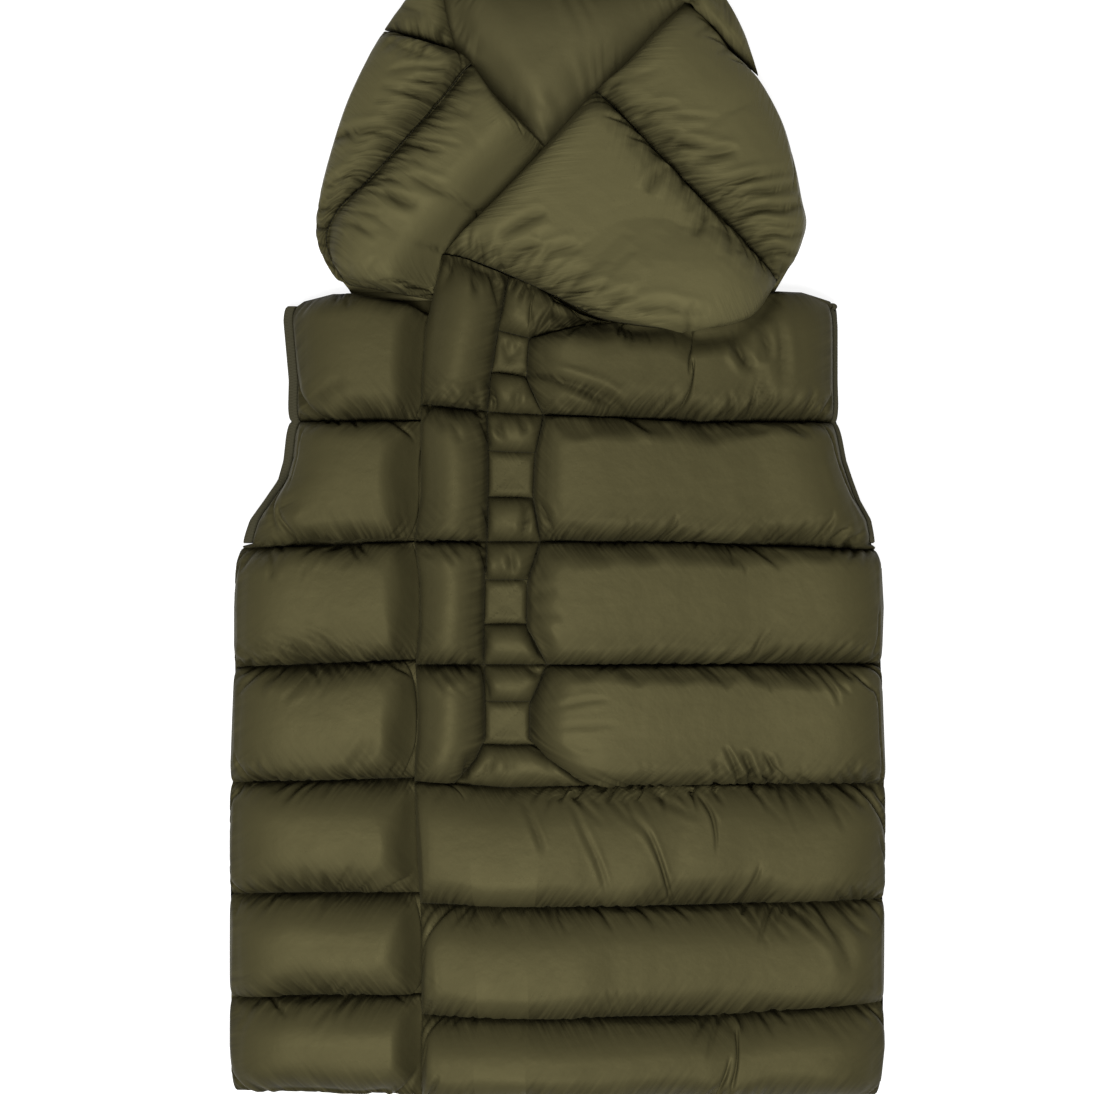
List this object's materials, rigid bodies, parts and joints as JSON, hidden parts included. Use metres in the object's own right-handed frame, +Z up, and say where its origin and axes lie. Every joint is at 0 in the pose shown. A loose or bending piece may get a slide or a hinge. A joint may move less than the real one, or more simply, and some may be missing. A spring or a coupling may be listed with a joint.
{
  "type": "hooded puffer vest, laid flat",
  "caption": "Long sleeveless quilted puffer vest with a crossed padded hood and a hidden snap placket, closed and laid flat on its back.",
  "frame": {"origin": "on the surface that the vest lies on, under the middle of its footprint", "axes": "+Z up from the surface through the front, +Y from the hem to the hood, +X to the wearer's left (the viewer's right)"},
  "size_m": [0.5997, 1.0869, 0.1012],
  "materials": {
    "shell_nylon": "olive nylon taffeta over down padding, soft satin sheen",
    "hood_nylon": "olive nylon taffeta over down padding, soft satin sheen",
    "lining_nylon": "olive nylon lining, low sheen",
    "binding_tape": "ribbed olive binding tape, matte"
  },
  "bodies": {
    "root": {"back_panel": "shell_nylon", "front_right": "shell_nylon", "front_left": "shell_nylon", "armhole_binding_right_front": "binding_tape", "armhole_binding_right_back": "binding_tape", "armhole_binding_left_front": "binding_tape", "armhole_binding_left_back": "binding_tape", "hood_back": "lining_nylon", "hood_lower_right": "hood_nylon", "hood_upper_right": "hood_nylon", "hood_lower_left": "hood_nylon", "hood_upper_left": "hood_nylon", "hood_crown": "hood_nylon"}
  },
  "joints": []
}
